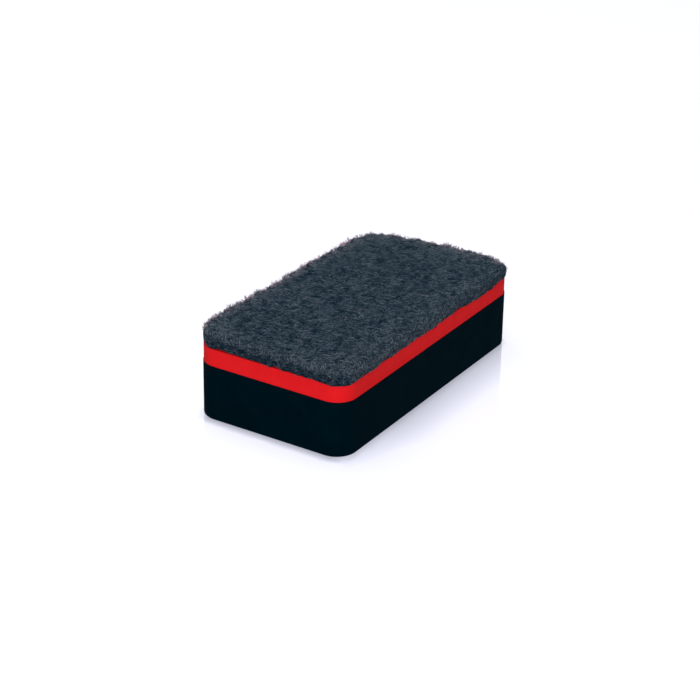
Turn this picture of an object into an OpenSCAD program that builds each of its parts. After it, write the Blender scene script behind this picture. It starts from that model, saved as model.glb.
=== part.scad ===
// Board eraser for whiteboards. Three layers are glued face to face and share one rounded
// outline: a tall block of black foam to hold, a thinner band of red foam, and a pad of
// grey needled felt that wipes the board.
// Lengths are in millimetres. The eraser stands on its foam with the felt up. The origin is
// the centre of its base, and its length runs along X.

/* [Outline] */
// Length of the foam block
block_length = 110; // [80:1:160]
// Width of the foam block
block_width = 58.5; // [40:0.5:90]
// Radius of the upright corners of the foam block
corner_radius = 7.5; // [4:0.5:12]

/* [Foam block] */
// Height of the black foam block
block_height = 19.7; // [12:0.1:35]
// Rounding of the lower edge of the foam block
base_round = 0.8; // [0.2:0.1:1.5]

/* [Foam band] */
// Height of the red foam band
band_height = 6.2; // [3:0.1:12]
// How far the wall of the band stays back from the wall of the block
band_setback = 0.2; // [0:0.05:1]

/* [Felt pad] */
// Thickness of the felt pad
felt_height = 4.3; // [3:0.1:8]
// How far the nap of the felt swells out past the wall of the band
felt_swell = 0.3; // [0:0.05:1]
// Rounding of the upper edge of the felt, where the nap lies over
felt_top_round = 1.6; // [0.5:0.1:2]
// Rounding of the lower edge of the felt, just above the glue line
felt_foot_round = 0.5; // [0.1:0.1:0.8]

/* [Hidden] */
$fn = 96;

foam_black = [0.03, 0.07, 0.09];
foam_red = [0.84, 0.11, 0.13];
felt_grey = [0.19, 0.24, 0.28];

// The corners of every layer turn about the same four upright lines.
corner_x = block_length / 2 - corner_radius;
corner_y = block_width / 2 - corner_radius;

// How far the wall of a layer lies outside the wall of the block
band_outset = -band_setback;
felt_outset = band_outset + felt_swell;

// Height of the base of each layer above the table
band_base = block_height;
felt_base = band_base + band_height;

// Strip of a section that is as high as the rounding at its outer end
module rounded_strip(reach, radius) {
    square([reach - radius, radius]);
    translate([reach - radius, 0])
        intersection() {
            circle(r = radius);
            square(radius);
        }
}

// Section of a layer, from the turning line of a corner out to the wall
module layer_section(reach, height, foot_round, top_round) {
    wall_height = height - foot_round - top_round;
    translate([0, foot_round])
        square([reach, wall_height]);
    if (foot_round > 0)
        translate([0, foot_round])
            mirror([0, 1])
                rounded_strip(reach, foot_round);
    if (top_round > 0)
        translate([0, foot_round + wall_height])
            rounded_strip(reach, top_round);
}

// Straight side of a layer, on the +X side of the turning lines
module side(reach, run, height, foot_round, top_round) {
    translate([0, run / 2, 0])
        rotate([90, 0, 0])
            linear_extrude(height = run)
                layer_section(reach, height, foot_round, top_round);
}

// One layer of the eraser, standing on z = 0: a core between the turning lines, a straight
// side on each face of the core and a quarter turn at each corner
module layer(outset, height, foot_round = 0, top_round = 0) {
    reach = corner_radius + outset;
    translate([-corner_x, -corner_y, 0])
        cube([2 * corner_x, 2 * corner_y, height]);
    for (turn = [0, 180]) {
        rotate([0, 0, turn])
            translate([corner_x, 0, 0])
                side(reach, 2 * corner_y, height, foot_round, top_round);
        rotate([0, 0, turn + 90])
            translate([corner_y, 0, 0])
                side(reach, 2 * corner_x, height, foot_round, top_round);
    }
    for (flip_x = [0, 1], flip_y = [0, 1])
        mirror([flip_x, 0, 0])
            mirror([0, flip_y, 0])
                translate([corner_x, corner_y, 0])
                    rotate_extrude(angle = 90)
                        layer_section(reach, height, foot_round, top_round);
}

// Black foam block: the grip of the eraser
module foam_block() {
    color(foam_black)
        layer(0, block_height, foot_round = base_round);
}

// Red foam band between the block and the felt, cut square at both edges
module foam_band() {
    color(foam_red)
        translate([0, 0, band_base])
            layer(band_outset, band_height);
}

// Felt pad: its nap swells out past the band and lies over at the upper edge
module felt_pad() {
    color(felt_grey)
        translate([0, 0, felt_base])
            layer(
                felt_outset,
                felt_height,
                foot_round = felt_foot_round,
                top_round = felt_top_round
            );
}

foam_block();
foam_band();
felt_pad();
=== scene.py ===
import math

import bpy
import numpy as np
from mathutils import Matrix, Vector, noise
from mathutils.bvhtree import BVHTree


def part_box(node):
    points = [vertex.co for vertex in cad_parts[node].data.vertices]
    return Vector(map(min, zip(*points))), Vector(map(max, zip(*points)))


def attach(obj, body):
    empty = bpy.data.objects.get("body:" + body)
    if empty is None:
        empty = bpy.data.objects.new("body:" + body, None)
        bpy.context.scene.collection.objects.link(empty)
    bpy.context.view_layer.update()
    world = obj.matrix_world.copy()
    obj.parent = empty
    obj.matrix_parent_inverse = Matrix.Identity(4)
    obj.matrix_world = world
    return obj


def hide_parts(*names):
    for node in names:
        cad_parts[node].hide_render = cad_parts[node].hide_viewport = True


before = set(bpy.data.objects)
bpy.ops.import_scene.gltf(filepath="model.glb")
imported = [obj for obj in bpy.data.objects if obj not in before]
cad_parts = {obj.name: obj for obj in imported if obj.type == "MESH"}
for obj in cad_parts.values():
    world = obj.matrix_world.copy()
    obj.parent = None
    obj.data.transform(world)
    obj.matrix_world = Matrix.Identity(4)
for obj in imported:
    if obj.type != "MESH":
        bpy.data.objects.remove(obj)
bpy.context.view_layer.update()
mm = 0.001

# ---- Foam block -------------------------------------------------------------------------
# The grip: a tall block of black closed-cell foam, die-cut from sheet. The knife opens the
# cells on its walls and leaves faint upright drag marks, so it is matt all over.


def feed(tree, node, inputs):
    """Gives each named input of a shader node a plain value or the socket that feeds it."""
    for name, value in inputs.items():
        if isinstance(value, bpy.types.NodeSocket):
            tree.links.new(value, node.inputs[name])
        else:
            node.inputs[name].default_value = value


def add_node(tree, kind, inputs=None, **settings):
    """Adds a shader node with its settings, and feeds its inputs."""
    node = tree.nodes.new(kind)
    for name, value in settings.items():
        setattr(node, name, value)
    feed(tree, node, inputs or {})
    return node


def combine(tree, operation, one, other):
    """The result of a sum on two levels, such as MULTIPLY or MAXIMUM."""
    return add_node(tree, "ShaderNodeMath", {0: one, 1: other}, operation=operation).outputs[0]


def blend(tree, share, one, other, kind="FLOAT"):
    """A level between one and other, or with kind RGBA a colour. share is other's part."""
    values = {"Factor": share, "A": one, "B": other}
    return add_node(tree, "ShaderNodeMix", values, data_type=kind).outputs["Result"]


def fade(tree, value, start, end, low=0.0, high=1.0):
    """A level that goes from low to high while value goes from start to end."""
    values = {"Value": value, "From Min": start, "From Max": end, "To Min": low, "To Max": high}
    return add_node(tree, "ShaderNodeMapRange", values).outputs["Result"]


def grain(tree, place, lumps_per_metre, detail, output="Fac"):
    """Irregular shading from about 0.3 to 0.7, or with the Color output three at once."""
    values = {"Vector": place, "Scale": lumps_per_metre, "Detail": detail}
    return add_node(tree, "ShaderNodeTexNoise", values).outputs[output]


def new_group(name, inputs, outputs):
    """A node group with these sockets, each name with its kind, and the group's two ends."""
    group = bpy.data.node_groups.new(name, "ShaderNodeTree")
    for direction, sockets in (("INPUT", inputs), ("OUTPUT", outputs)):
        for label, kind in sockets.items():
            group.interface.new_socket(label, in_out=direction, socket_type=kind)
    return group, add_node(group, "NodeGroupInput"), add_node(group, "NodeGroupOutput")


# The shade of a cut face lies between these two levels, but for a few cells
darkest, lightest = 0.3, 0.7


def cut_foam_group():
    """Cut face of closed-cell foam: opened cells, knife drag marks and slow mottling."""
    group, given, result = new_group(
        "cut foam",
        {"Cell Size": "NodeSocketFloat"},
        {name: "NodeSocketFloat" for name in ("Shade", "Roughness", "Height")},
    )
    place = add_node(group, "ShaderNodeTexCoord").outputs["Object"]
    cells_per_metre = combine(group, "DIVIDE", 1.0, given.outputs["Cell Size"])
    cells = add_node(
        group, "ShaderNodeTexVoronoi", {"Vector": place, "Scale": cells_per_metre}
    ).outputs["Distance"]
    # The drag marks are a fine grain drawn out upright
    squeeze = (1.0, 1.0, 0.04)
    squeezed = add_node(
        group, "ShaderNodeVectorMath", {0: place, 1: squeeze}, operation="MULTIPLY"
    ).outputs[0]
    drag = grain(group, squeezed, lumps_per_metre=1600.0, detail=2.0)
    mottle = grain(group, place, lumps_per_metre=170.0, detail=4.0)
    # Painted shade: the opened cells are darker at their middles, where the bump sinks them. The
    # mottling and drag marks are the foam's own.
    shade = blend(group, 0.3, blend(group, 0.35, mottle, drag), cells)
    rough = fade(group, shade, darkest, lightest, low=0.9, high=0.72)
    height = blend(group, 0.25, cells, drag)
    feed(group, result, {"Shade": shade, "Roughness": rough, "Height": height})
    return group


def display_colour(red, green, blue):
    """The linear colour of a paint chip that a screen shows with these levels, 0 to 255."""
    levels = [level / 255 for level in (red, green, blue)]
    linear = [
        level / 12.92 if level <= 0.04045 else ((level + 0.055) / 1.055) ** 2.4
        for level in levels
    ]
    return (*linear, 1.0)


def colour_ramp(tree, factor, stops):
    """A colour ramp through (place, colour) stops."""
    ramp = add_node(tree, "ShaderNodeValToRGB", {"Fac": factor})
    elements = ramp.color_ramp.elements
    while len(elements) < len(stops):
        elements.new(0.5)
    for element, (place, colour) in zip(elements, stops):
        element.position = place
        element.color = colour
    return ramp.outputs["Color"]


def new_material(name):
    """A new material, with its node tree and its shader."""
    material = bpy.data.materials.new(name)
    material.use_nodes = True
    return material, material.node_tree, material.node_tree.nodes["Principled BSDF"]


def foam_material(name, dark, light, gloss, tint, cell_size):
    """Matt foam whose colour runs from dark to light with the shade of its cut face."""
    material, tree, shader = new_material(name)
    cut = add_node(tree, "ShaderNodeGroup", {"Cell Size": cell_size}, node_tree=cut_foam)
    colour = colour_ramp(tree, cut.outputs["Shade"], [(darkest, dark), (lightest, light)])
    bump = add_node(
        tree,
        "ShaderNodeBump",
        {"Strength": 0.35, "Distance": 0.05 * mm, "Height": cut.outputs["Height"]},
    )
    finish = {
        "Base Color": colour,
        "Roughness": cut.outputs["Roughness"],
        "Normal": bump.outputs["Normal"],
        "Specular IOR Level": gloss,
        "Specular Tint": tint,
    }
    feed(tree, shader, finish)
    return material


def finish_solid(name, material):
    """Gives one of the frame's solids its real material."""
    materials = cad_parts[name].data.materials
    materials.clear()
    materials.append(material)


cut_foam = cut_foam_group()
foam_black = foam_material(
    "foam black",
    dark=display_colour(0, 11, 18),
    light=display_colour(0, 17, 26),
    gloss=0.02,
    tint=(0.05, 0.8, 1.0, 1.0),
    cell_size=0.28 * mm,
)
finish_solid("foam_block", foam_black)

# ---- Foam band --------------------------------------------------------------------------
# A thinner layer of red closed-cell foam, glued on the block and cut with it by the same
# knife, so its walls are finished as the block's are. The colour goes right through.

foam_red = foam_material(
    "foam red",
    dark=display_colour(210, 11, 17),
    light=display_colour(220, 15, 22),
    gloss=0.22,
    tint=(0.9, 0.85, 1.0, 1.0),
    cell_size=0.24 * mm,
)
finish_solid("foam_band", foam_red)

# ---- Felt pad ---------------------------------------------------------------------------
# The wiping pad: thick needled felt of mixed grey wool and synthetic fibre, glued on the
# band. It is soft, so its face is uneven, its upper edge lies over and its lower edge
# hangs a little past the glue line.

random = np.random.default_rng(7)
felt_low, felt_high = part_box("felt_pad")
band_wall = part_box("foam_band")[1].x
glue_line = felt_low.z
# The nap that lies on the body takes up this much of the pad's size, on its face and walls
nap_on_face, nap_on_wall = 0.3 * mm, 0.15 * mm
half_x, half_y = felt_high.x - nap_on_wall, felt_high.y - nap_on_wall
# Radius of the body's upright corners
felt_corner = 7.35 * mm
# How far in from its edge the face is wavy, and how round the edge is where it isn't sunk
rim_reach, rim_round = 1.5 * mm, 1.0 * mm

# Soft swells and hollows of the face: place, height and reach, all in millimetres
swells = [
    (-50, 26, 1.2, 10),
    (-33, 27.5, 1.55, 10),
    (-30, 28, -0.45, 4),
    (-20, 28.5, 1.2, 3.5),
    (-8, 27, 0.3, 14),
    (12, 28, 0.8, 9),
    (45, 28, 0.4, 5),
    (53, 27, -1.9, 14),
    (55, 5, -0.35, 14),
    (54, -27, -1.1, 8),
    (-30, -12, 0.15, 20),
]
# How far the lower edge hangs down here and there, or is drawn up: place, depth and reach
hangs = [
    (-53, 28, -0.35, 7),
    (-55, 10, -0.33, 20),
    (-54, -29, 0.5, 9),
    (-27, -29, -0.15, 8),
    (3, -29, 0.5, 5),
    (15, -29, -0.4, 4),
    (25, -29, 0.45, 5),
    (36, -29, 0.50, 8),
]
# Waves of the upper edge, rags of the lower one, and tufts all over: height, width and seed
rim_waves = [(0.8, 3.5, 4), (0.85, 1.5, 10)]
rags = [(0.40, 2.6, 5), (0.32, 1.1, 6)]
tufts = [(0.16, 1.4, 1), (0.10, 0.9, 2), (0.14, 5.0, 3)]


def nearness(x, y, at_x, at_y, reach):
    """1 at the given place, and less with the distance from it, down to a third at reach."""
    return np.exp(-((x - at_x) ** 2 + (y - at_y) ** 2) / reach**2)


def lumps(places, x, y):
    """Sum of soft round lumps, each given as place, height and reach in millimetres."""
    total = np.zeros_like(x)
    for at_x, at_y, height, reach in places:
        total += height * mm * nearness(x, y, at_x * mm, at_y * mm, reach * mm)
    return total


def ripple(points, width, seed):
    """Smooth noise from about -1 to 1 at each point. Its lumps are about width wide."""
    shift = Vector((seed * 3.7, seed * 1.3, seed * 2.1))
    return np.array([noise.noise(Vector(p) / width + shift) for p in points])


def ripples(points, waves):
    """Sum of ripples, each given as height and width in millimetres and its seed."""
    return sum(height * mm * ripple(points, width * mm, seed) for height, width, seed in waves)


def spaced(half, step):
    """Places from -half to half, step apart in the middle and closer at both ends."""
    count = 2 * round(half / step)
    even = np.linspace(-1, 1, count + 1)
    crowding = 0.07
    return half * ((1 + crowding) * even - crowding * even**9)


def rounded_plan(x, y):
    """Moves the points of a rectangle so that its corners are rounded, and returns them
    with their distance inside the outline."""
    corner = felt_corner
    over_x = np.clip((np.abs(x) - (half_x - corner)) / corner, 0, 1)
    over_y = np.clip((np.abs(y) - (half_y - corner)) / corner, 0, 1)
    turned_x = over_x * np.sqrt(1 - over_y**2 / 2)
    turned_y = over_y * np.sqrt(1 - over_x**2 / 2)
    new_x = np.where(over_x > 0, np.sign(x) * (half_x - corner + corner * turned_x), x)
    new_y = np.where(over_y > 0, np.sign(y) * (half_y - corner + corner * turned_y), y)
    far_x, far_y = half_x - np.abs(new_x), half_y - np.abs(new_y)
    in_corner = (over_x > 0) & (over_y > 0)
    round_inside = corner * (1 - np.hypot(turned_x, turned_y))
    inside = np.where(in_corner, round_inside, np.minimum(far_x, far_y))
    return new_x, new_y, np.maximum(inside, 0)


def face_level(x, y):
    """Height of the body's face at each place, without the rounding of its edge."""
    return felt_high.z - nap_on_face + lumps(swells, x, y)


def felt_face(x, y, inside):
    """Height of the body's face at each place, with its upper edge rounded over."""
    places = np.stack([x, y, 0 * x], -1).reshape(-1, 3)
    at_rim = np.exp(-inside / rim_reach)
    level = face_level(x, y) + at_rim * ripples(places, rim_waves).reshape(x.shape)
    # Where the face is sunk, its edge is a little rounder
    sunk = np.clip((felt_high.z - level) / mm, 0, 2)
    rounding = rim_round * (1 + 0.2 * sunk)
    short = np.clip(rounding - inside, 0, None)
    return level - rounding + np.sqrt(rounding**2 - short**2)


def felt_wall(rim):
    """Rings of points that hang from the rim of the face: down the wall, round its lower
    edge, up the band's wall to the glue, and inwards. The last three are held by glue."""
    ahead = np.roll(rim, -1, 0) - np.roll(rim, 1, 0)
    outward = np.stack([ahead[:, 1], -ahead[:, 0], 0 * ahead[:, 0]], -1)
    outward /= np.linalg.norm(outward, axis=1)[:, None]
    # The lower edge is ragged but for the corner in front, which is cut clean. Where
    # nothing hangs, it ends a little above the glue line.
    above_glue = 0.12 * mm
    cut_clean = nearness(rim[:, 0], rim[:, 1], -half_x, -half_y, 14 * mm)
    hang = lumps(hangs, rim[:, 0], rim[:, 1]) - above_glue
    hang += (2.0 - 1.7 * cut_clean) * ripples(rim, rags)
    foot = glue_line - hang
    wall_rings = 8
    bulge, foot_round = 0.06 * mm, 0.3 * mm
    rings = []
    for ring_number in range(1, wall_rings + 1):
        down = ring_number / wall_rings
        ring = rim + outward * bulge * math.sin(math.pi * down**0.8)
        ring[:, 2] = rim[:, 2] * (1 - down) + (foot + foot_round) * down
        rings.append(ring)
    overhang = half_x - band_wall - 0.04 * mm
    glued = glue_line + 0.02 * mm
    glued_width = 2.0 * mm
    for inward, level in (
        (0.4 * foot_round, foot),
        (overhang, foot + 0.05 * mm),
        (overhang, np.maximum(glued, foot + 0.1 * mm)),
        (glued_width, glued),
    ):
        ring = rim - outward * inward
        ring[:, 2] = level
        rings.append(ring)
    return rings


def felt_pad_mesh():
    """The closed body of the pad: a fine grid for its face, rings for its walls, and a flat
    seat on the glue. Tufts push its face and walls out and in."""
    step = 0.5 * mm
    grid_x, grid_y = np.meshgrid(spaced(half_x, step), spaced(half_y, step), indexing="ij")
    x, y, inside = rounded_plan(grid_x, grid_y)
    # The knife drew one corner of the soft felt in a little
    drawn = nearness(x, y, -half_x, half_y, 9 * mm)
    x, y = x + 0.3 * mm * drawn, y - 0.35 * mm * drawn
    face = np.stack([x, y, felt_face(x, y, inside)], -1).reshape(-1, 3)
    number = np.arange(len(face)).reshape(x.shape)
    quads = np.stack([number[:-1, :-1], number[1:, :-1], number[1:, 1:], number[:-1, 1:]], -1)
    faces = quads.reshape(-1, 4).tolist()
    # The rim of the face, anticlockwise, and the walls that hang from it
    rim = np.concatenate([number[:-1, 0], number[-1, :-1], number[:0:-1, -1], number[0, :0:-1]])
    rings = felt_wall(face[rim])
    last = rim
    for ring_number in range(len(rings)):
        here = len(face) + ring_number * len(rim) + np.arange(len(rim))
        wall = np.stack([last, here, np.roll(here, -1), np.roll(last, -1)], -1)
        faces.extend(wall.tolist())
        last = here
    faces.append(last[::-1].tolist())
    points = np.concatenate([face, *rings])
    mesh = bpy.data.meshes.new("felt_body")
    mesh.from_pydata(points.tolist(), [], faces)
    mesh.update()
    # Tufts: every point but those that the glue holds moves along its normal
    normals = np.empty(len(points) * 3)
    mesh.vertices.foreach_get("normal", normals)
    free = np.arange(len(points)) < len(points) - 3 * len(rim)
    points += normals.reshape(-1, 3) * (ripples(points, tufts) * free)[:, None]
    mesh.vertices.foreach_set("co", points.ravel())
    mesh.update()
    mesh.shade_smooth()
    return mesh


def put_in_scene(name, data):
    """A new object made of the given mesh, camera or lamp."""
    made = bpy.data.objects.new(name, data)
    bpy.context.scene.collection.objects.link(made)
    return made


def felt_blend_group():
    """Colour of the mixed fibres, from dark slate to pale grey. Warmth turns them towards a pale
    pinkish grey, which is painted backlight, as of light from behind that shines through the fuzz
    at the edges."""
    group, given, result = new_group(
        "felt blend",
        {name: "NodeSocketFloat" for name in ("Tone", "Warmth")},
        {"Color": "NodeSocketColor"},
    )
    dyed = colour_ramp(
        group,
        given.outputs["Tone"],
        [
            (0.0, display_colour(2, 22, 36)),
            (0.25, display_colour(18, 42, 58)),
            (0.5, display_colour(38, 59, 74)),
            (0.75, display_colour(66, 82, 96)),
            (1.0, display_colour(110, 118, 130)),
        ],
    )
    painted_backlight = colour_ramp(
        group,
        given.outputs["Tone"],
        [
            (0.0, display_colour(70, 62, 68)),
            (1.0, display_colour(188, 168, 183)),
        ],
    )
    mixed = blend(group, given.outputs["Warmth"], dyed, painted_backlight, kind="RGBA")
    feed(group, result, {"Color": mixed})
    return group


felt_blend = felt_blend_group()


def felt_material(name, tone_of):
    """Matt felt. tone_of makes the socket that says how pale the fibre is at each place."""
    material, tree, shader = new_material(name)
    warmth = add_node(tree, "ShaderNodeAttribute", attribute_name="warmth").outputs["Fac"]
    fibres = add_node(
        tree,
        "ShaderNodeGroup",
        {"Tone": tone_of(tree), "Warmth": warmth},
        node_tree=felt_blend,
    )
    finish = {
        "Base Color": fibres.outputs["Color"],
        "Roughness": 0.9,
        "Specular IOR Level": 0.05,
    }
    feed(tree, shader, finish)
    return material


def matted_tone(tree):
    """Tone of the matted ground under the nap: short strokes that run every way."""
    place = add_node(tree, "ShaderNodeTexCoord").outputs["Object"]
    warp = grain(tree, place, lumps_per_metre=300.0, detail=2.0, output="Color")
    most_bent = (4 * mm, 4 * mm, 4 * mm)
    bent = add_node(
        tree, "ShaderNodeVectorMath", {0: warp, 1: most_bent, 2: place}, operation="MULTIPLY_ADD"
    ).outputs[0]
    strands = grain(tree, bent, lumps_per_metre=1500.0, detail=3.0)
    # Only the darkest fifth of the tones: the felt's own dark ground, made darker still as
    # painted shade of the deep gaps under the locks
    return fade(tree, strands, 0.35, 0.75, low=0.0, high=0.2)


felt_body = put_in_scene("felt_body", felt_pad_mesh())
felt_body.data.materials.append(felt_material("felt ground", matted_tone))
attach(felt_body, "root")
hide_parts("felt_pad")

# ---- Nap --------------------------------------------------------------------------------
# The loose fibres that the needles raise on the felt. They lie in short locks, a few
# fibres side by side, flat on the face and over its edges.

surface = BVHTree.FromObject(felt_body, bpy.context.evaluated_depsgraph_get())

# Patches where the nap is paler or darker: place, change of tone and reach. Like every tone
# here, they are shares of the way from the darkest fibre to the palest.
tone_patches = [
    (-51, 10, -0.03, 10),
    (-51, -22, 0.03, 9),
    (51, -6, 0.15, 9),
    (50, 24, 0.10, 8),
    (30, 28, 0.05, 10),
    (-50, -24, -0.03, 12),
    (-38, 4, -0.06, 12),
    (-53, 23, 0.08, 7),
]
# How much paler the nap is by where it lies, or darker where the number is below zero. The wall
# and foot numbers are painted light and shade, the rim's is painted rim light, and the last is
# painted backlight.
wall_painted_shading, near_wall_painted_shade, far_wall_painted_shade, near_foot_painted_shade = 0.06, -0.34, -0.2, -0.08
rim_painted_light, mottle_tone, pale_corner_tone, painted_backlight_tone = 0.18, 0.05, 0.6, 0.46
# How much the fibres of one lock differ in tone
fibre_vary = 0.25


def felt_triangles():
    """The triangles of the felt body: their corners, middles, normals and areas."""
    mesh = felt_body.data
    mesh.calc_loop_triangles()
    corners = np.empty(len(mesh.loop_triangles) * 3, np.int32)
    mesh.loop_triangles.foreach_get("vertices", corners)
    points = np.empty(len(mesh.vertices) * 3)
    mesh.vertices.foreach_get("co", points)
    points = points.reshape(-1, 3)[corners.reshape(-1, 3)]
    crossed = np.cross(points[:, 1] - points[:, 0], points[:, 2] - points[:, 0])
    areas = np.linalg.norm(crossed, axis=1) / 2
    normals = crossed / np.maximum(2 * areas, 1e-12)[:, None]
    return points, points.mean(1), normals, areas


felt_corners, felt_middles, felt_normals, felt_areas = felt_triangles()


def depth_inside(x, y):
    """How far a place lies inside the outline of the pad."""
    over_x, over_y = np.abs(x) - half_x + felt_corner, np.abs(y) - half_y + felt_corner
    beyond = np.hypot(np.maximum(over_x, 0), np.maximum(over_y, 0))
    return felt_corner - beyond - np.minimum(np.maximum(over_x, over_y), 0)


def scattered(count, at_rim):
    """Random places on the outer surface of the felt, with its normal there. at_rim keeps
    them to its upper edge and the wall just below it."""
    x, y, z = felt_middles.T
    level = felt_normals[:, 2]
    faces_out = (felt_normals[:, :2] * felt_middles[:, :2]).sum(1) > 0
    on_face = level > 0.3
    on_wall = faces_out & (level > -0.6)
    outer = on_face | on_wall
    if at_rim:
        rim_depth, rim_width = 1.0 * mm, 1.3 * mm
        outer &= (face_level(x, y) - z < rim_depth) & (depth_inside(x, y) < rim_width)
    areas = felt_areas * outer
    chosen = random.choice(len(areas), count, p=areas / areas.sum())
    weights = random.dirichlet((1, 1, 1), count)
    return (felt_corners[chosen] * weights[:, :, None]).sum(1), felt_normals[chosen]


def lock_paths(
    roots, normals, fibres_each, joints, length, lift, curl, spread, tip_lift, combed=0.7
):
    """Paths of the fibres of many locks. Each path starts at its root on the felt, runs
    along the surface and follows it over the edges. tip_lift raises the free end, and
    combed is how far the locks on the walls may stray from the run of the edge."""
    locks = len(roots)
    # On the face the locks turn slowly from patch to patch
    patch_width, heading_vary, bend_vary = 9 * mm, 0.9, 0.3
    heading = 4 * math.pi * ripple(roots, patch_width, 0)
    heading += random.normal(0, heading_vary, locks)
    # On the walls the knife has combed the locks along the edge, one way or the other
    on_wall = normals[:, 2] < 0.6
    along = random.normal(0, combed, locks) + math.pi * random.integers(0, 2, locks)
    heading = np.where(on_wall, along, heading)
    lock_length = length * random.uniform(0.6, 1.4, locks)
    lock_lift = lift * random.uniform(0.3, 1.6, locks)
    lock_curl = curl * random.normal(0, 1, locks)
    turns = heading[:, None] + random.normal(0, spread, (locks, fibres_each))
    bends = lock_curl[:, None] + random.normal(0, bend_vary, (locks, fibres_each))
    reaches = lock_length[:, None] * random.uniform(0.75, 1.15, (locks, fibres_each))
    fibre_gap = 0.045 * mm
    shifts = fibre_gap * random.normal(0, 1, (locks, fibres_each, 2))
    # The free ends stand up in tufts, and lower at the far end, where the felt is matted
    tuft_width, far_end = 1.7 * mm, 5 * mm
    tuft = np.clip(0.3 + 3.7 * np.abs(ripple(roots, tuft_width, 11)), 0, 1.8)
    tuft *= np.where(roots[:, 0] < half_x - far_end, 1.12, 0.85)
    lock_end = tip_lift * tuft * random.uniform(0.6, 1.1, locks)
    ends = lock_end[:, None] * random.uniform(0.75, 1.15, (locks, fibres_each))
    root_depth = 0.04 * mm
    # They stand out from the felt and, a little more, up
    sky = Vector((0, 0, 1.2))
    paths = np.empty((locks * fibres_each, joints, 3))
    fibre = 0
    for lock in range(locks):
        normal = Vector(normals[lock])
        along_edge = Vector((-normal.y, normal.x, 0))
        side = (along_edge if on_wall[lock] else normal.orthogonal()).normalized()
        other = normal.cross(side)
        for strand in range(fibres_each):
            turn, bend = turns[lock, strand], bends[lock, strand]
            stride = reaches[lock, strand] / (joints - 1)
            aside, beside = shifts[lock, strand]
            place = Vector(roots[lock]) + side * aside + other * beside
            for joint in range(joints):
                share = joint / (joints - 1)
                if joint:
                    angle = turn + bend * (share - 0.5)
                    place = place + (side * math.cos(angle) + other * math.sin(angle)) * stride
                at, up, _, _ = surface.find_nearest(place)
                rise = lock_lift[lock] * math.sin(math.pi * share) - root_depth
                tip_rise = ends[lock, strand] * share**1.4
                paths[fibre, joint] = at + up * rise + (up + sky).normalized() * tip_rise
                place = at
            fibre += 1
    return paths


def fibre_mesh(name, paths, thickness, tones, warmths):
    """One mesh of closed three-sided fibres that taper to a point at both ends. Each has
    its own cell of the bake map, and its tone and warmth at its vertices."""
    count, joints, _ = paths.shape
    along = np.gradient(paths, axis=1)
    along /= np.linalg.norm(along, axis=2)[..., None]
    # Hardly any fibre runs this way, so it gives each of them a side and a top
    nearly_upright = (0.12, 0.07, 0.99)
    side = np.cross(along, nearly_upright)
    side /= np.linalg.norm(side, axis=2)[..., None]
    up = np.cross(side, along)
    share = np.linspace(0, 1, joints)
    girth = (thickness / 2)[:, None] * np.sin(math.pi * share) ** 0.5
    rings = []
    for angle in (math.radians(90), math.radians(210), math.radians(330)):
        offset = side * math.cos(angle) + up * math.sin(angle)
        rings.append(paths + offset * girth[..., None])
    rings = np.stack(rings, 2)[:, 1:-1].reshape(count, -1, 3)
    points = np.concatenate([paths[:, :1], rings, paths[:, -1:]], 1)
    each = points.shape[1]
    tip, end = 0, each - 1
    # In its cell, each side of the fibre is a strip, with a little room beside it
    strip = 0.9
    faces, places = [], []
    for turn in range(3):
        after = (turn + 1) % 3
        left, right, middle = turn / 3, (turn + strip) / 3, (turn + strip / 2) / 3
        faces.append((tip, 1 + after, 1 + turn))
        places += [(middle, share[0]), (right, share[1]), (left, share[1])]
        for ring in range(joints - 3):
            here, beyond = 1 + 3 * ring, 4 + 3 * ring
            near, far = share[ring + 1], share[ring + 2]
            faces.append((here + turn, here + after, beyond + after))
            places += [(left, near), (right, near), (right, far)]
            faces.append((here + turn, beyond + after, beyond + turn))
            places += [(left, near), (right, far), (left, far)]
        rim = end - 3
        faces.append((rim + turn, rim + after, end))
        places += [(left, share[-2]), (right, share[-2]), (middle, share[-1])]
    first_points = (np.arange(count) * each)[:, None, None]
    all_faces = (np.array(faces)[None] + first_points).reshape(-1, 3)
    mesh = bpy.data.meshes.new(name)
    mesh.from_pydata(points.reshape(-1, 3).tolist(), [], all_faces.tolist())
    cells_across = math.ceil(math.sqrt(count))
    cell = np.stack([np.arange(count) % cells_across, np.arange(count) // cells_across], -1)
    inset = 0.08
    spots = inset + (1 - 2 * inset) * np.array(places)
    uv = (cell[:, None] + spots[None]) / cells_across
    layer = mesh.uv_layers.new(name="OFBake")
    layer.uv.foreach_set("vector", uv.astype(np.float32).ravel())
    for kind, values in (("tone", tones), ("warmth", warmths)):
        attribute = mesh.attributes.new(kind, "FLOAT", "POINT")
        attribute.data.foreach_set("value", np.repeat(values, each).astype(np.float32))
    mesh.update()
    mesh.shade_smooth()
    return mesh


def fibre_tone(tree):
    """The tone that each fibre carries."""
    return add_node(tree, "ShaderNodeAttribute", attribute_name="tone").outputs["Fac"]


nap_material = felt_material("felt nap", fibre_tone)


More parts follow.
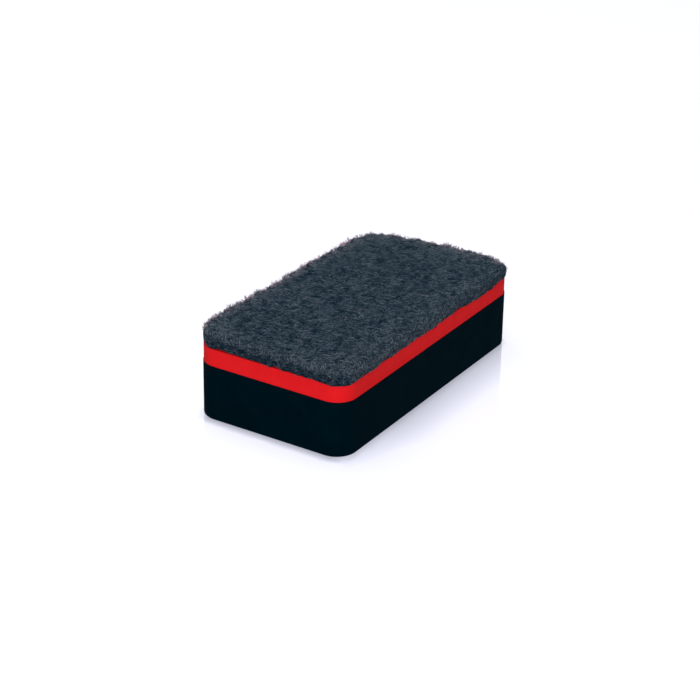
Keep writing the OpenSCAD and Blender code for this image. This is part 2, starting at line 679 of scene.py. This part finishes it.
def lay_nap(name, locks, fibres_each, thickness, tone, vary, warmth=0.0, at_rim=False, **lie):
    """Makes one piece of nap. lie holds the words that lock_paths takes. The fibres of a lock
    share a tone, with painted shade that darkens it on the walls towards both ends of the pad,
    and painted light at its rim."""
    roots, normals = scattered(locks, at_rim)
    paths = lock_paths(roots, normals, fibres_each, **lie)
    middles = paths[::fibres_each].mean(1)
    x, y, z = middles.T
    # The fibres are more mixed towards the near end
    mixed = 1.1 - 0.18 * x / half_x
    lock_tone = tone + mixed * random.normal(0, vary, locks)
    mottle_width, rim_fade = 4.0 * mm, 5 * mm
    lock_tone += mottle_tone * ripple(middles, mottle_width, 8)
    wall_top, wall_fade, foot_height = 0.1 * mm, 1.2 * mm, 1.2 * mm
    on_wall = np.clip((face_level(x, y) - wall_top - z) / wall_fade, 0, 1)
    at_foot = np.clip((glue_line + foot_height - z) / foot_height, 0, 1)
    # Nothing before the last tenth of the way to the near end, and full at the end itself
    at_near_end = np.clip(-x / half_x - 0.9, 0, 0.1) * 10
    to_far_end = np.clip(x / half_x, 0, 1)
    # Painted light and shade on the walls: a little paler along them, and painted shade that
    # darkens them towards both ends, most at the near end and at its foot
    lock_tone += on_wall * (wall_painted_shading + near_wall_painted_shade * at_near_end + far_wall_painted_shade * to_far_end)
    lock_tone += near_foot_painted_shade * at_foot * at_near_end
    # Painted rim light: the nap is paler near the outline of the pad. The listed patches make it
    # paler or darker here and there.
    lock_tone += rim_painted_light * np.exp(-depth_inside(x, y) / rim_fade) + lumps(tone_patches, x, y) / mm
    # Near the near corner, some of the locks are paler
    pale_corner_reach, pale_corner_share = 22 * mm, 0.12
    pale_locks = random.random(locks) < pale_corner_share
    lock_tone += pale_corner_tone * nearness(x, y, -half_x, -half_y, pale_corner_reach) * pale_locks
    # Painted backlight: along the back and the far end, in patches, the nap is paler and pinkish,
    # as if light from behind shone through its fuzz
    backlight_reach, patch_width = 4.0 * mm, 1.7 * mm
    from_back = np.minimum(half_x - x, half_y - y)
    painted_backlight = np.clip(1.2 - from_back / backlight_reach, 0, 1)
    painted_backlight *= np.clip(1.1 + 3.6 * ripple(middles, patch_width, 9), 0, 2) * (1 - 0.6 * on_wall)
    lock_tone += painted_backlight_tone * warmth * painted_backlight
    tones = np.repeat(lock_tone, fibres_each)
    tones += np.repeat(mixed, fibres_each) * random.normal(0, fibre_vary, len(paths))
    warmths = np.clip(np.repeat(warmth * painted_backlight, fibres_each), 0, 1)
    widths = thickness * random.uniform(0.7, 1.3, len(paths))
    piece = put_in_scene(name, fibre_mesh(name, paths, widths, np.clip(tones, 0, 1), warmths))
    piece.data.materials.append(nap_material)
    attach(piece, "root")


for layer in range(7):
    lay_nap(
        f"nap_layer_{layer + 1}",
        locks=7200,
        fibres_each=2,
        thickness=0.09 * mm,
        tone=0.31 + 0.04 * layer,
        vary=0.15,
        warmth=0.12,
        joints=3,
        length=3.0 * mm,
        lift=(0.05 + 0.03 * layer) * mm,
        curl=0.7,
        spread=0.12,
        tip_lift=0.10 * mm,
    )

# Single stray fibres stand a little off the nap
lay_nap(
    "nap_stray",
    locks=7000,
    fibres_each=1,
    thickness=0.07 * mm,
    tone=0.68,
    vary=0.28,
    joints=5,
    length=2.6 * mm,
    lift=0.2 * mm,
    curl=1.2,
    spread=0.3,
    tip_lift=0.35 * mm,
)

# A fringe of short ones stands out all round the upper edge, in small tufts
lay_nap(
    "nap_fringe",
    locks=2700,
    fibres_each=5,
    thickness=0.12 * mm,
    tone=0.43,
    vary=0.2,
    warmth=0.55,
    at_rim=True,
    joints=3,
    length=1.0 * mm,
    lift=0.1 * mm,
    curl=0.8,
    spread=0.14,
    tip_lift=0.95 * mm,
    combed=3.0,
)

# ---- Studio -----------------------------------------------------------------------------
# A white glossy sheet under the eraser, a wide soft lamp in front of it, three lamps above
# and behind it, and an even pale surround.

floor_half = 3.0
floor_corners = [(-1, -1), (1, -1), (1, 1), (-1, 1)]
floor_mesh = bpy.data.meshes.new("floor")
floor_mesh.from_pydata(
    [(x * floor_half, y * floor_half, 0) for x, y in floor_corners], [], [(0, 1, 2, 3)]
)
floor = put_in_scene("floor", floor_mesh)
floor_white, tree, sheet = new_material("floor white")
# The sheet is white to the eye, and darker to the light that it throws back on the foam.
# A pale glow of its own, as of a sheet that is lit from below, thins the shadows.
white_seen, white_unseen = (0.479, 0.491, 0.58, 1), (0.34, 0.34, 0.34, 1)
glow_seen, glow_unseen = (0.40, 0.405, 0.48, 1), (0, 0, 0, 1)
seen = add_node(tree, "ShaderNodeLightPath").outputs["Is Camera Ray"]
paint = blend(tree, seen, white_unseen, white_seen, kind="RGBA")
glow = blend(tree, seen, glow_unseen, glow_seen, kind="RGBA")
# It mirrors the eraser near its walls, and less with the distance from them: for about two
# millimetres past the end walls, and further past the side walls, the more so the farther
# from the near end. Round the corners of the near end the mirror is faint.
block_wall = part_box("foam_block")[1]
place = add_node(tree, "ShaderNodeTexCoord").outputs["Object"]
split = add_node(tree, "ShaderNodeSeparateXYZ", {"Vector": place})
along = split.outputs["X"]
off_x, off_y = (combine(tree, "ABSOLUTE", split.outputs[axis], 0) for axis in "XY")
by_end = fade(tree, off_x, block_wall.x + 2.6 * mm, block_wall.x + 0.4 * mm)
side_reach = fade(tree, along, -56 * mm, -28 * mm, low=4.5 * mm, high=15 * mm)
from_side = combine(tree, "SUBTRACT", off_y, block_wall.y)
by_side = fade(tree, combine(tree, "DIVIDE", from_side, side_reach), 1.0, 0.15)
strength_along = fade(tree, along, -57 * mm, -20 * mm, low=0.2, high=0.92)
strength_across = fade(tree, off_y, 30 * mm, 24 * mm)
mirror = combine(
    tree,
    "MULTIPLY",
    combine(tree, "MINIMUM", by_end, by_side),
    combine(tree, "MAXIMUM", strength_along, strength_across),
)
sheet_finish = {
    "Base Color": paint,
    "Roughness": 0.05,
    "Specular IOR Level": 0.25,
    "Coat Weight": mirror,
    "Coat Roughness": 0.05,
    "Coat IOR": 3.4,
    "Emission Color": glow,
    "Emission Strength": 1.0,
}
feed(tree, sheet, sheet_finish)
floor_mesh.materials.append(floor_white)

# The surround is white to the eye and in what is glossy, and it lights the eraser softly
world = bpy.data.worlds.new("surround")
bpy.context.scene.world = world
world.use_nodes = True
tree = world.node_tree
ray = add_node(tree, "ShaderNodeLightPath")
shown = combine(tree, "MAXIMUM", ray.outputs["Is Camera Ray"], ray.outputs["Is Glossy Ray"])
soft_light = 0.13
strength = blend(tree, shown, soft_light, 1.0)
feed(tree, tree.nodes["Background"], {"Color": (1, 1, 1, 1), "Strength": strength})


def toward(turn, rise):
    """The way out from the eraser at these angles in degrees: turn from the front towards
    the far end, and rise from the floor."""
    turn, rise = math.radians(turn), math.radians(rise)
    flat = math.cos(rise)
    return Vector((math.sin(turn) * flat, -math.cos(turn) * flat, math.sin(rise)))


# The camera looks down on the eraser from past its front corner, through a long lens
back = toward(turn=-57.856, rise=25.994)
roll = math.radians(0.951)
distance = 734.55 * mm
aim_right, aim_up = -2.837 * mm, 8.62 * mm
level_right = Vector((0, 0, 1)).cross(back).normalized()
level_up = back.cross(level_right)
right = math.cos(roll) * level_right + math.sin(roll) * level_up
up = math.cos(roll) * level_up - math.sin(roll) * level_right
camera = put_in_scene("camera", bpy.data.cameras.new("camera"))
camera.matrix_world = Matrix.Translation(
    right * aim_right + up * aim_up + back * distance
) @ Matrix((right, up, back)).transposed().to_4x4()
camera.data.lens = 109.54
camera.data.sensor_width = 36
camera.data.clip_start = 0.01
bpy.context.scene.camera = camera

lamp_distance = 1.2


def add_lamp(name, turn, rise, size, power, colour=(1, 1, 1)):
    """A square soft lamp that faces the eraser from the given angles."""
    lamp = put_in_scene(name, bpy.data.lights.new(name, "AREA"))
    lamp.data.shape = "SQUARE"
    lamp.data.size = size
    lamp.data.energy = power
    lamp.data.color = colour
    lamp.location = lamp_distance * toward(turn, rise)
    lamp.rotation_euler = lamp.location.to_track_quat("Z", "Y").to_euler()


warm = (1.0, 0.98, 0.82)
add_lamp("front lamp", turn=-59, rise=24, size=0.9, power=13.0)
add_lamp("top lamp", turn=122, rise=88, size=1.0, power=6.0, colour=warm)
add_lamp("small lamp", turn=105, rise=87.8, size=0.05, power=4.8)
add_lamp("back lamp", turn=180, rise=65, size=1.0, power=4.7, colour=warm)

bpy.context.scene.view_settings.view_transform = "Standard"
